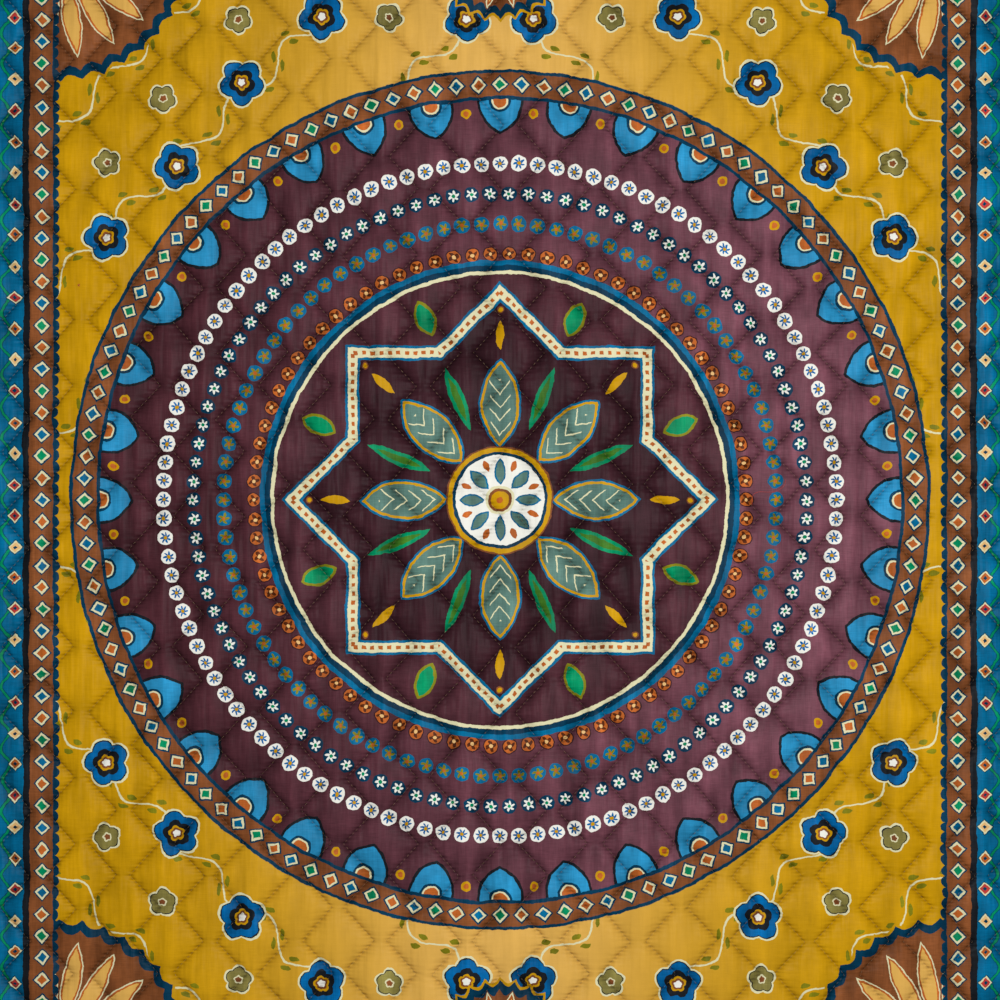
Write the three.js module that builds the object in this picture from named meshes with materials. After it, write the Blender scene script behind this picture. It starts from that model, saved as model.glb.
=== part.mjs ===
// A quilted throw blanket, lying flat.
//
// Face cloth, thin wadding and back cloth are held together by stitched lines that run along the length
// in even zigzags. Each line mirrors its neighbours, so two of them enclose a chain of puffed diamonds
// joined by narrow necks. All round, the edge is turned in and sewn down as a thin flat hem.
//
// Millimetres, +X across the width, +Y along the length, +Z up. The origin is the middle of the
// rectangle, on the surface that the blanket lies on.

import * as THREE from "three";

// The finished blanket
const WIDTH = 1270;
const LENGTH = 1524;

// The hem: a flat turned edge outside its own row of stitches, drawn in a little by the quilting
const HEM_WIDTH = 12;
const HEM_THICK = 2.4;
const HEM_DRAW_IN = 1.5;

// The quilting lines, counted from the one nearest the middle
const LINE_PITCH = 50;
const FIRST_LINE = -11;
const LAST_LINE = 12;
const MIDDLE_LINE_X = -14;
const REPEAT = 76.2;
const SWING = 17.5;

// The cloth where it is sewn through, in a neck and at a diamond's crown: how far its underside stands
// off the surface, and its thickness. The hem's row of stitches holds it flat on the surface.
const HEM_SEAM = { under: 0, thick: 1.8 };
const SEAM = { under: 0.9, thick: 1.6 };
const NECK = { under: 0.3, thick: 3.8 };
const CROWN = { under: 0, thick: 7 };

// How far the needle strays from the even zigzag, across and along, and how much the crowns differ
const STRAY_ACROSS = [
  { size: 1.5, wavelength: 410, turnPerLine: 0.37 },
  { size: 0.8, wavelength: 173, turnPerLine: 0.61 },
];
const STRAY_ALONG = [
  { size: 1.1, wavelength: 530, turnPerLine: 0.23 },
  { size: 0.6, wavelength: 97, turnPerLine: 0.71 },
];
const CROWN_SPREAD = [
  { size: 0.45, wavelength: 289, turnPerLine: 0.43 },
  { size: 0.35, wavelength: 118, turnPerLine: 0.17 },
];

// Soft waves in which the cloth stands off the surface. Each has its crest at x and y, drifts sideways
// by lean for each millimetre of length, and dies out a half width and a half length from the crest.
const WAVES = [
  { height: 2.2, x: -455, y: 180, lean: 0.06, halfWidth: 95, halfLength: 420 },
  { height: 1.8, x: -235, y: -260, lean: -0.045, halfWidth: 80, halfLength: 380 },
  { height: 2.4, x: 30, y: 60, lean: 0.035, halfWidth: 90, halfLength: 520 },
  { height: 1.7, x: 260, y: 330, lean: -0.07, halfWidth: 85, halfLength: 300 },
  { height: 2.1, x: 440, y: -150, lean: 0.04, halfWidth: 100, halfLength: 450 },
];

const CLOTH_COLOUR = 0x8a5a2e;
const CLOTH_ROUGHNESS = 0.85;

const hemSeamX = WIDTH / 2 - HEM_WIDTH;
const hemSeamY = LENGTH / 2 - HEM_WIDTH;
const halfRepeat = REPEAT / 2;
const turnsPerHalf = Math.round(LENGTH / REPEAT);
const widestGap = LINE_PITCH + 2 * SWING;
const narrowestGap = LINE_PITCH - 2 * SWING;

function strayAt(terms, line, along) {
  let total = 0;
  for (const { size, wavelength, turnPerLine } of terms) {
    total += size * Math.sin(2 * Math.PI * (along / wavelength + turnPerLine * line));
  }
  return total;
}

// A smooth hump: 1 at its middle, and 0 from the given reach outwards.
function hump(distance, reach) {
  const t = Math.min(Math.abs(distance) / reach, 1);
  return (0.5 + 0.5 * Math.cos(Math.PI * t)) ** 2;
}

function waveLift(x, y) {
  let lift = 0;
  for (const wave of WAVES) {
    const crestX = wave.x + wave.lean * (y - wave.y);
    lift += wave.height * hump(x - crestX, wave.halfWidth) * hump(y - wave.y, wave.halfLength);
  }
  return lift;
}

function clothPoint(x, y, { under, thick }) {
  const bottom = under + waveLift(x, y);
  return { x, y, bottom, top: bottom + thick };
}

// A line turns back at each half repeat, first a quarter repeat from the middle of the length. Beyond
// the last turn it has only begun its way back when it meets the end hem.
function swingAt(line, row) {
  const side = Math.abs(line + row.turn) % 2 === 1 ? 1 : -1;
  if (!row.isHemSeam) return side * SWING;
  const lastTurnY = (turnsPerHalf - 0.5) * halfRepeat;
  const wayBack = (hemSeamY - lastTurnY) / halfRepeat;
  return -side * SWING * (1 - 2 * wayBack);
}

function linePoint(line, row) {
  const evenX = MIDDLE_LINE_X + line * LINE_PITCH + swingAt(line, row);
  const x = evenX + strayAt(STRAY_ACROSS, line, row.y);
  if (row.isHemSeam) return clothPoint(x, row.y, HEM_SEAM);
  return clothPoint(x, row.y + strayAt(STRAY_ALONG, line, row.y), SEAM);
}

// The point midway between two lines: high in a diamond, low in a neck.
function middlePoint(left, right, gap, row) {
  const x = (left.x + right.x) / 2;
  const y = (left.y + right.y) / 2;
  if (row.isHemSeam) return clothPoint(x, y, HEM_SEAM);
  const openness = (right.x - left.x - narrowestGap) / (widestGap - narrowestGap);
  const fullness = THREE.MathUtils.clamp(openness, 0, 1);
  const spread = strayAt(CROWN_SPREAD, gap, y);
  return clothPoint(x, y, {
    under: THREE.MathUtils.lerp(NECK.under, CROWN.under, fullness),
    thick: THREE.MathUtils.lerp(NECK.thick, CROWN.thick + spread, fullness),
  });
}

// The hem's outer edge beside a point of its seam.
function hemEdge(point, outX, outY, isDrawnIn) {
  const reach = isDrawnIn ? HEM_WIDTH - HEM_DRAW_IN : HEM_WIDTH;
  return { x: point.x + outX * reach, y: point.y + outY * reach, bottom: 0, top: HEM_THICK };
}

// One row across the cloth: edge, hem seam, middle, line, middle, line, ... middle, hem seam, edge.
function rowAcross(row) {
  const leftSeam = clothPoint(-hemSeamX, row.y, HEM_SEAM);
  const rightSeam = clothPoint(hemSeamX, row.y, HEM_SEAM);
  const points = [leftSeam];
  for (let line = FIRST_LINE; line <= LAST_LINE + 1; line++) {
    const next = line > LAST_LINE ? rightSeam : linePoint(line, row);
    points.push(middlePoint(points.at(-1), next, line, row), next);
  }
  const isDrawnIn = !row.isHemSeam && Math.abs(row.turn) % 2 === 1;
  const leftEdge = hemEdge(leftSeam, -1, 0, isDrawnIn);
  const rightEdge = hemEdge(rightSeam, 1, 0, isDrawnIn);
  return [leftEdge, ...points, rightEdge];
}

// The hem's edge at one end of the blanket, drawn in where a quilting line meets the hem.
function endEdge(seamRow, outY) {
  const lastColumn = seamRow.length - 1;
  return seamRow.map((point, column) => {
    const isLine = column % 2 === 1 && column > 1 && column < lastColumn - 1;
    return hemEdge(point, 0, outY, isLine);
  });
}

function clothNet() {
  const rows = [{ y: -hemSeamY, turn: -turnsPerHalf - 1, isHemSeam: true }];
  for (let turn = -turnsPerHalf; turn < turnsPerHalf; turn++) {
    rows.push({ y: (turn + 0.5) * halfRepeat, turn, isHemSeam: false });
  }
  rows.push({ y: hemSeamY, turn: turnsPerHalf, isHemSeam: true });
  const inner = rows.map(rowAcross);
  return [endEdge(inner[0], -1), ...inner, endEdge(inner.at(-1), 1)];
}

// The closed skin round a net: its upper points, its lower points, and the edge between them.
function skinGeometry(net) {
  const rowCount = net.length;
  const columnCount = net[0].length;
  const layer = rowCount * columnCount;
  const at = (row, column) => row * columnCount + column;
  const thickness = (row, column) => net[row][column].top - net[row][column].bottom;
  const triangles = [];
  const addSquare = (a, b, c, d) => triangles.push(a, b, c, a, c, d);

  for (let row = 0; row + 1 < rowCount; row++) {
    for (let column = 0; column + 1 < columnCount; column++) {
      const near = at(row, column);
      const right = at(row, column + 1);
      const far = at(row + 1, column + 1);
      const left = at(row + 1, column);
      // The crease joins the thicker pair of opposite corners, so each crown is a clean pyramid.
      const rising = thickness(row, column) + thickness(row + 1, column + 1);
      const falling = thickness(row, column + 1) + thickness(row + 1, column);
      if (rising > falling) {
        addSquare(near, right, far, left);
        addSquare(layer + near, layer + left, layer + far, layer + right);
      } else {
        addSquare(right, far, left, near);
        addSquare(layer + right, layer + near, layer + left, layer + far);
      }
    }
  }

  const rim = [];
  for (let column = 0; column < columnCount - 1; column++) rim.push(at(0, column));
  for (let row = 0; row < rowCount - 1; row++) rim.push(at(row, columnCount - 1));
  for (let column = columnCount - 1; column > 0; column--) rim.push(at(rowCount - 1, column));
  for (let row = rowCount - 1; row > 0; row--) rim.push(at(row, 0));
  rim.forEach((here, i) => {
    const next = rim[(i + 1) % rim.length];
    addSquare(here, layer + here, layer + next, next);
  });

  const upper = net.flat().flatMap((point) => [point.x, point.y, point.top]);
  const lower = net.flat().flatMap((point) => [point.x, point.y, point.bottom]);
  const geometry = new THREE.BufferGeometry();
  geometry.setAttribute("position", new THREE.Float32BufferAttribute([...upper, ...lower], 3));
  geometry.setIndex(triangles);
  geometry.computeVertexNormals();
  return geometry;
}

const cloth = new THREE.MeshStandardMaterial({
  color: CLOTH_COLOUR,
  roughness: CLOTH_ROUGHNESS,
  metalness: 0,
});

const blanket = new THREE.Mesh(skinGeometry(clothNet()), cloth);
blanket.name = "blanket";

const group = new THREE.Group();
group.add(blanket);

export default group;
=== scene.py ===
# %% [markdown]
# # A quilted, printed throw
#
# Such a throw is three layers: a thin printed cotton face, a light wadding and a plain back. A machine
# with a row of needles sews all three together in zigzags that run along the length. Each zigzag mirrors
# the next, so the cloth puffs up into diamonds joined by narrow necks. The edge is turned in and sewn
# down. The photograph shows neither the back nor the edge, so both are a guess.
#
# The lesson goes: camera and light, the quilting lines, the puffed cloth as one closed mesh, the
# stitches, and last the dyes and the weave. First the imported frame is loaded, which gives the size.

# %% Load the frame and note the size of the solid
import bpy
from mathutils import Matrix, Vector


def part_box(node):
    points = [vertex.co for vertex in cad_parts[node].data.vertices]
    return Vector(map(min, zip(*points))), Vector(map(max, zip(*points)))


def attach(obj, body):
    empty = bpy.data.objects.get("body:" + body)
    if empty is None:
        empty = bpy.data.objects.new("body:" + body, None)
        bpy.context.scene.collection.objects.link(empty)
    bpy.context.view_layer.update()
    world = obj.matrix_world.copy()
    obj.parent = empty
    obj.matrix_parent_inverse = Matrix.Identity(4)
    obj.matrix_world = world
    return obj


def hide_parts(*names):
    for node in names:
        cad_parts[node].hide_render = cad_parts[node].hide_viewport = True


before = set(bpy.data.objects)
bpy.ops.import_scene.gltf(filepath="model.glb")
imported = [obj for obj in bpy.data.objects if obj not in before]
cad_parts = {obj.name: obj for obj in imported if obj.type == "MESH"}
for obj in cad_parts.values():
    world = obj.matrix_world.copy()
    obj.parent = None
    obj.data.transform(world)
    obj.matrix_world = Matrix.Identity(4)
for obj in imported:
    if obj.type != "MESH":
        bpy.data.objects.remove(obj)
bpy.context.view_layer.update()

import ast
import math

import bpy
import numpy as np
from mathutils.bvhtree import BVHTree

MM = 0.001
node_low, node_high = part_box("blanket")
HALF_WIDTH = (node_high[0] - node_low[0]) / 2 / MM
HALF_LENGTH = (node_high[1] - node_low[1]) / 2 / MM
print(f"the throw is {2 * HALF_WIDTH:.0f} x {2 * HALF_LENGTH:.0f} mm")

# %% [markdown]
# ## Camera
#
# The throw is seen flat, from straight above, and close enough that its hems are just out of view.
# A long lens at a good height keeps the rows of quilting parallel.

# %% Camera over the middle of the throw
VIEW_WIDTH = 1165
LENS = 85
SENSOR = 36
CLOTH_LEVEL = 5

camera_data = bpy.data.cameras.new("camera")
camera_data.lens = LENS
camera_data.sensor_width = SENSOR
camera = bpy.data.objects.new("camera", camera_data)
camera_height = VIEW_WIDTH * LENS / SENSOR + CLOTH_LEVEL
camera.location = (0, 0, camera_height * MM)
bpy.context.collection.objects.link(camera)
bpy.context.scene.camera = camera
print(f"the camera is {camera_height:.0f} mm above the floor")

# %% [markdown]
# ## Colours and nodes
#
# A dye or a paint is an sRGB colour, as on a colour card. A shader multiplies light, so it needs linear
# values, and one function turns each colour to those. Materials and Geometry Nodes are trees of linked
# nodes. One function adds any kind of node and gives back an output, ready to be linked into the next.

# %% One function for a colour, and one that adds a node
def linear(dye):
    """The linear red, green and blue of an sRGB hex colour, and an alpha of 1."""
    parts = [int(dye[i:i + 2], 16) / 255 for i in (1, 3, 5)]
    return tuple(c / 12.92 if c <= 0.04045 else ((c + 0.055) / 1.055) ** 2.4 for c in parts) + (1.0,)


def add(tree, kind, inputs=None, out=0, **settings):
    """Adds a node: sets its settings, then links or sets each input, and gives back one output."""
    node = tree.nodes.new(kind)
    for name, value in settings.items():
        setattr(node, name, value)
    for name, value in (inputs or {}).items():
        if isinstance(value, bpy.types.NodeSocket):
            tree.links.new(value, node.inputs[name])
        else:
            node.inputs[name].default_value = value
    return node.outputs[out] if node.outputs else node


def empty_tree(material):
    """Gives a material a tree of its own, with nothing in it."""
    material.use_nodes = True
    material.node_tree.nodes.clear()
    return material.node_tree


print("middle grey is", round(linear("#808080")[0], 3), "in linear light")

# %% [markdown]
# ## Light and floor
#
# A wide soft light hangs high over the middle, a little to the far right. Slopes that face the middle
# catch it and slopes that face away lose it, which is what shows the puffs. The room gives an even fill
# that keeps the sewn troughs open. The floor is plain and pale.

# %% Soft light and a pale room
LIGHT_PLACE = (0.25, 0.1, 1.9)
LIGHT_SIZE = 0.8
LIGHT_POWER = 33
ROOM_STRENGTH = 0.26
ROOM_WHITE = "#FFFFFF"

light = bpy.data.lights.new("studio_light", "AREA")
light.size = LIGHT_SIZE
light.energy = LIGHT_POWER
lamp = bpy.data.objects.new("studio_light", light)
lamp.location = LIGHT_PLACE
lamp.rotation_euler = (-lamp.location).to_track_quat("-Z", "Y").to_euler()
lamp.visible_camera = False
bpy.context.collection.objects.link(lamp)

room = bpy.data.worlds.new("room")
air = add(empty_tree(room), "ShaderNodeBackground",
          {"Color": linear(ROOM_WHITE), "Strength": ROOM_STRENGTH})
add(room.node_tree, "ShaderNodeOutputWorld", {"Surface": air})
bpy.context.scene.world = room
bpy.context.scene.view_settings.view_transform = "Standard"
print("one area light of", LIGHT_POWER, "W")

# %% [markdown]
# The floor is a board with a coat of matt wall paint. Such paint has no gloss, so it gives an even pale
# ground with nothing mirrored in it.

# %% The floor
FLOOR_SIZE = 30
FLOOR_PAINT = "#E7E6E3"
PAINT_ROUGHNESS = 0.9

bpy.ops.mesh.primitive_plane_add(size=FLOOR_SIZE)
floor = bpy.context.object
floor.name = "floor"
paint = bpy.data.materials.new("pale_matt_paint")
coat = add(empty_tree(paint), "ShaderNodeBsdfPrincipled",
           {"Base Color": linear(FLOOR_PAINT), "Roughness": PAINT_ROUGHNESS})
add(paint.node_tree, "ShaderNodeOutputMaterial", {"Surface": coat})
floor.data.materials.append(paint)
print("a floor of", FLOOR_SIZE, "m")

# %% [markdown]
# ## The quilting lines
#
# The sizes here are those of the solid: the same pitch, swing and repeat, and the same small strays of
# the needle, so every sewn line of the fine mesh lies in a crease of the solid. The hem has its own
# row of stitches, which closes the first and the last puff.

# %% Sizes of the quilting, in millimetres
HEM_WIDTH = 12
LINE_PITCH = 50
FIRST_LINE, LAST_LINE = -11, 12
MIDDLE_LINE_X = -14
REPEAT = 76.2
SWING = 17.5
STRAY_ACROSS = [(1.5, 410, 0.37), (0.8, 173, 0.61)]
STRAY_ALONG = [(1.1, 530, 0.23), (0.6, 97, 0.71)]
CROWN_SPREAD = [(0.45, 289, 0.43), (0.35, 118, 0.17)]
HEM_X = HALF_WIDTH - HEM_WIDTH
HEM_Y = HALF_LENGTH - HEM_WIDTH
TURNS = round(2 * HALF_LENGTH / REPEAT)
turns = np.arange(-TURNS, TURNS)
turn_levels = (turns + 0.5) * REPEAT / 2


def stray(terms, line, along):
    """How far the needle strays: a few sine waves, shifted from line to line."""
    return sum(size * np.sin(2 * np.pi * (along / length + shift * line))
               for size, length, shift in terms)


print(len(turns), "turns on a line, the last", round(turn_levels[-1]), "mm from the middle")

# %% [markdown]
# A zigzag turns back at each half repeat, first to one side and then to the other, and its neighbour
# turns the opposite way. The two hems are lines of the same kind, only straight.

# %% The corners of each sewn line, from the near hem to the far one
def zigzag(line):
    """The corners of a line, which has just begun its way back where it meets the hem."""
    side = np.where((line + turns) % 2 == 1, 1.0, -1.0)
    way_back = 1 - 2 * (HEM_Y - turn_levels[-1]) / (REPEAT / 2)
    side = np.concatenate(([side[0] * way_back], side, [side[-1] * way_back]))
    y = np.concatenate(([-HEM_Y], turn_levels, [HEM_Y]))
    x = MIDDLE_LINE_X + line * LINE_PITCH + side * SWING + stray(STRAY_ACROSS, line, y)
    y[1:-1] += stray(STRAY_ALONG, line, turn_levels)
    return np.stack([x, y], axis=1)


right_hem = np.stack([np.full(len(turns) + 2, HEM_X), [-HEM_Y, *turn_levels, HEM_Y]], axis=1)
zigzags = [zigzag(line) for line in range(FIRST_LINE, LAST_LINE + 1)]
lines = np.array([right_hem * (-1, 1), *zigzags, right_hem])
print(len(zigzags), "zigzags between two hems")

# %% [markdown]
# ## The puffed cloth
#
# The cloth is one mesh, and its columns of points follow the zigzags. They crowd near the sewing, where
# the cloth bends most, so the sewn troughs are crisp and the broad crowns cost few faces.

# %% A net whose columns follow the sewn lines
COLUMNS = 12
ROWS = 6
CROWDING = 1.7

steps = np.arange(COLUMNS) / COLUMNS
from_seam = np.minimum(steps, 1 - steps) * 2
across = np.where(steps < 0.5, 0.5 * from_seam**CROWDING, 1 - 0.5 * from_seam**CROWDING)


def net_of(lines):
    """Points between the lines: one row in ROWS has the corners, the rest divide the stretch evenly."""
    starts = np.arange(lines.shape[1] - 1)
    rows = np.append((starts[:, None] + np.arange(ROWS) / ROWS).ravel(), starts[-1] + 1)
    low = np.minimum(rows.astype(int), starts[-1])
    share = (rows - low)[:, None]
    fine = lines[:, low] * (1 - share) + lines[:, low + 1] * share
    left = fine[:-1, None]
    right = fine[1:, None]
    gaps = left + (right - left) * across[:, None, None]
    return np.concatenate([gaps.reshape(-1, len(rows), 2), fine[-1:]]).swapaxes(0, 1), rows


net, row_turn = net_of(lines)
print("net of", net.shape[0], "rows and", net.shape[1], "columns")

# %% [markdown]
# The wadding can lift the cloth only as far as the sewing lets it, so the height of a point comes from
# its distances to the sewn lines at its left, at its right and at the end of the throw.

# %% How far each point of the net lies from the sewing
def distance(points, start, end):
    """From each point to its own straight stretch of sewing."""
    run = end - start
    share = ((points - start) * run).sum(-1) / (run * run).sum(-1)
    return np.linalg.norm(points - start - np.clip(share, 0, 1)[..., None] * run, axis=-1)


def distance_to_line(points, line):
    """To the line of each column: the stretch beside the point, or the one before or after it."""
    last = lines.shape[1] - 2
    here = np.clip(row_turn.astype(int), 0, last)
    corners = lines[line].swapaxes(0, 1)
    near = [np.clip(here + shift, 0, last) for shift in (-1, 0, 1)]
    return np.min([distance(points, corners[k], corners[k + 1]) for k in near], axis=0)


column_gap = np.minimum(np.arange(net.shape[1]) // COLUMNS, len(lines) - 2)
to_left = distance_to_line(net, column_gap)
to_right = distance_to_line(net, column_gap + 1)
to_end = HEM_Y - np.abs(net[..., 1])
to_seam = np.minimum(np.minimum(to_left, to_right), to_end)
print(f"the middle of a diamond is up to {to_seam.max():.0f} mm from the sewing")

# %% [markdown]
# A throw never lies quite flat. The broad waves are those of the solid, and the whole cloth lifts with
# them. The creases are slack cloth between the seams: soft ridges and troughs that run lengthwise and
# slant a little, each listed with a place and a size of its own.

# %% Waves and creases
WAVES = [
    # height, x, y, lean, half width, half length
    (2.2, -455, 180, 0.06, 95, 420),
    (1.8, -235, -260, -0.045, 80, 380),
    (2.4, 30, 60, 0.035, 90, 520),
    (1.7, 260, 330, -0.07, 85, 300),
    (2.1, 440, -150, 0.04, 100, 450),
]
CREASES = [
    # height, x, y, lean, half width, half length
    (0.8, -530, -60, 0.05, 16, 170),
    (-0.7, -492, 330, -0.08, 13, 120),
    (0.9, -418, -330, 0.06, 15, 190),
    (-0.6, -372, 90, 0.1, 12, 110),
    (0.7, -305, 250, -0.04, 14, 150),
    (0.8, -262, -120, 0.09, 13, 120),
    (-0.8, -190, -420, -0.06, 15, 140),
    (0.9, -148, 90, 0.03, 16, 210),
    (-0.6, -96, -190, 0.12, 12, 100),
    (0.7, -62, 410, -0.09, 14, 130),
    (0.8, 34, -300, 0.05, 15, 180),
    (-0.7, 72, 150, -0.05, 13, 140),
    (0.9, 121, -80, 0.07, 14, 160),
    (0.6, 176, 360, 0.04, 13, 120),
    (-0.8, 214, -260, -0.1, 15, 130),
    (0.8, 268, 40, 0.06, 14, 170),
    (0.7, 322, -430, -0.05, 15, 150),
    (-0.7, 371, 250, 0.08, 13, 120),
    (0.9, 408, -60, -0.03, 16, 200),
    (0.6, 466, 420, 0.06, 12, 110),
    (-0.8, 512, -300, 0.05, 15, 150),
    (0.8, 548, 110, -0.07, 14, 160),
]


def hump(away, reach):
    return (0.5 + 0.5 * np.cos(np.pi * np.minimum(np.abs(away) / reach, 1))) ** 2


def lengthwise(folds, points):
    """Soft folds that run along the cloth, each from a row of a table."""
    x, y = points[..., 0], points[..., 1]
    return sum(
        height * hump(x - fold_x - lean * (y - fold_y), half_width) * hump(y - fold_y, half_length)
        for height, fold_x, fold_y, lean, half_width, half_length in folds
    )


waves = lengthwise(WAVES, net)
creases = lengthwise(CREASES, net)
print(f"{len(WAVES)} waves up to {waves.max():.1f} mm, and {len(CREASES)} creases")

# %% [markdown]
# A tight cloth over soft wadding rises steeply for the first few millimetres and then rounds off into a
# broad crown. The quilting draws the cloth in across its width, so a soft ridge also runs lengthwise
# through the crowns and necks. The height of the face over its sewing is the sum of these.

# %% The height of the face over its sewing
ROLL_HEIGHT, ROLL_REACH = 2.9, 3.6
CROWN_HEIGHT, CROWN_REACH = 2.2, 12
RIDGE_HEIGHT = 1.0


def rise(reach):
    """A product of the rises from each side, so the crown between them is rounded."""
    return np.prod([1 - np.exp(-d / reach) for d in (to_left, to_right, to_end)], axis=0)


spread = stray(CROWN_SPREAD, column_gap + FIRST_LINE, net[..., 1])
ridge = 1 - np.abs(2 * np.append(np.tile(across, len(lines) - 1), 0) - 1)
puff = ROLL_HEIGHT * rise(ROLL_REACH) + (CROWN_HEIGHT + spread) * rise(CROWN_REACH)
puff += (RIDGE_HEIGHT * ridge + creases) * rise(ROLL_REACH)
print(f"the crowns stand up to {puff.max():.1f} mm over the sewing")

# %% [markdown]
# ## Closing the cloth
#
# The face net gets a rolled hem outside the last row of stitches. The underside has a net of fewer
# points and lies flatter, because the floor presses it. At each turn the quilting draws the hem in a
# little.

# %% Face and underside, each with its hem
SEAM_TOP = 1.9
SEAM_UNDER = 0.8
UNDER_REACH = 6
HEM_TOP = 1.8
HEM_REACH = 10
HEM_DRAW_IN = 1.5
BACK_ROWS, BACK_COLUMNS = 2, 3
FACE_HEM = [
    # out from the hem's stitches as a share of its width, height
    (0.14, 2.3),
    (0.45, 2.7),
    (0.78, 2.5),
    (0.95, 1.9),
    (1.0, 1.2),
]
BACK_HEM = [(0.45, 0.0), (0.94, 0.2)]


def rings_out(count, rings):
    """For each row or column of a net with its hem: 0 inside, and then 1, 2, 3 out to the edge."""
    return np.pad(np.zeros(count, int), rings, "linear_ramp", end_values=rings)


def with_hem(points, profile, row_pinch, column_pinch):
    """Pads a net with the hem's rings, each pushed out by its share and set at its height."""
    rings = len(profile)
    shares, heights = np.array([(0.0, 0.0)] + profile).T
    row_ring, column_ring = (rings_out(count, rings) for count in points.shape[:2])
    padded = np.pad(points, ((rings, rings), (rings, rings), (0, 0)), "edge")
    side = np.sign(padded[..., :2])
    reach = [HEM_WIDTH - HEM_DRAW_IN * np.pad(pinch, rings) for pinch in (row_pinch, column_pinch)]
    padded[..., 0] += side[..., 0] * shares[column_ring] * reach[0][:, None]
    padded[..., 1] += side[..., 1] * shares[row_ring][:, None] * reach[1]
    ring = np.maximum(row_ring[:, None], column_ring)
    padded[..., 2] = np.where(ring > 0, heights[ring], padded[..., 2])
    return padded


hem_share = np.exp(-np.minimum(HEM_X - np.abs(net[..., 0]), to_end) / HEM_REACH)
top = SEAM_TOP + (HEM_TOP - SEAM_TOP) * hem_share + puff + waves
under = SEAM_UNDER * (1 - rise(UNDER_REACH)) + waves
row_pinch = np.cos(np.pi * row_turn / 2) ** 2 * ((row_turn >= 1) & (row_turn <= row_turn[-1] - 1))
column_pinch = np.cos(np.pi * np.arange(net.shape[1]) / COLUMNS) ** 2
column_pinch[:COLUMNS // 2] = column_pinch[-(COLUMNS // 2):] = 0

face = with_hem(np.dstack([net, top]), FACE_HEM, row_pinch, column_pinch)
back = with_hem(np.dstack([net, under])[::BACK_ROWS, ::BACK_COLUMNS], BACK_HEM,
                row_pinch[::BACK_ROWS], column_pinch[::BACK_COLUMNS])
print(f"face up to {face[..., 2].max():.1f} mm high, underside from {back[..., 2].min():.1f} mm")

# %% [markdown]
# A strip round the rim joins face and underside, so the cloth is one closed body. The underside has
# fewer points, so each of its edges takes the chain of face edges beside it, as a fan of triangles.

# %% One closed mesh
def squares(ids):
    return np.stack([ids[:-1, :-1], ids[:-1, 1:], ids[1:, 1:], ids[1:, :-1]], axis=-1).reshape(-1, 4)


def rim(ids):
    """Once round a net, seen anticlockwise from above."""
    return np.concatenate([ids[0, :-1], ids[:-1, -1], ids[-1, :0:-1], ids[:0:-1, 0]])


def kept(count, step):
    """The rows or columns of the face that have a partner on the underside, with the hem's."""
    rings = len(FACE_HEM)
    inner = np.arange(0, count, step) + rings
    return np.concatenate([[0, rings - 2], inner, [count + rings + 1, count + 2 * rings - 1]])


face_ids = np.arange(face.shape[0] * face.shape[1]).reshape(face.shape[:2])
back_ids = np.arange(back.shape[0] * back.shape[1]).reshape(back.shape[:2]) + face_ids.size
face_rim = rim(face_ids)
back_rim = rim(back_ids)
partner = rim(face_ids[np.ix_(kept(net.shape[0], BACK_ROWS), kept(net.shape[1], BACK_COLUMNS))])
stops = np.append(np.flatnonzero(np.isin(face_rim, partner)), len(face_rim))
strip = []
for here, (start, stop) in enumerate(zip(stops[:-1], stops[1:])):
    low, next_low = back_rim[here], back_rim[(here + 1) % len(back_rim)]
    chain = face_rim[np.arange(start, stop + 1) % len(face_rim)]
    strip += [(second, first, low) for first, second in zip(chain[:-1], chain[1:])]
    strip.append((low, next_low, chain[-1]))

points = np.concatenate([face.reshape(-1, 3), back.reshape(-1, 3)]) * MM
faces = squares(face_ids).tolist() + squares(back_ids)[:, ::-1].tolist() + strip
mesh = bpy.data.meshes.new("quilted_throw")
mesh.from_pydata(points.tolist(), [], faces)
mesh.validate()
mesh.shade_smooth()
throw = bpy.data.objects.new("quilted_throw", mesh)
bpy.context.collection.objects.link(throw)
print(len(mesh.loop_triangles), "triangles,", len(strip), "of them in the strip round the rim")

# %% [markdown]
# ## The cloth's map
#
# The print is laid on the flat cloth, so it follows a UV map. The face fills most of the map and the
# underside is a narrow strip beside it, because it is plain. The cloth that turns round the edge has a
# little map of its own outside the face, so the print carries on over the edge.

# %% A map with the face at the left and the underside at the right
EDGE_TURN = 2.0
EDGE_SHARE = 0.9
FACE_SHARE = 0.86
BACK_FROM, BACK_TO = 0.875, 0.998
map_half = np.array([HALF_WIDTH, HALF_LENGTH]) + EDGE_TURN

flat = points[:, :2] / MM
outward = np.sign(flat) * (np.abs(flat) > (HEM_X + 1, HEM_Y + 1))
round_edge = flat[partner] + outward[partner] * EDGE_TURN * EDGE_SHARE
face_map = (flat / map_half + 1) / 2 * (FACE_SHARE, 1)
face_map[back_rim] = (round_edge / map_half + 1) / 2 * (FACE_SHARE, 1)
back_map = (flat / map_half * (-1, 1) + 1) / 2 * (BACK_TO - BACK_FROM, 1) + (BACK_FROM, 0)

corner_point = np.empty(len(mesh.loops), int)
mesh.loops.foreach_get("vertex_index", corner_point)
face_corners = squares(face_ids).size
back_corners = squares(back_ids).size
is_back = np.zeros(len(mesh.loops), bool)
is_back[face_corners:][:back_corners] = True
cloth_map = np.where(is_back[:, None], back_map[corner_point], face_map[corner_point])
mesh.uv_layers.new(name="OFBake").data.foreach_set("uv", cloth_map.ravel())
print(f"map from {cloth_map.min(0).round(3)} to {cloth_map.max(0).round(3)}")
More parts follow.
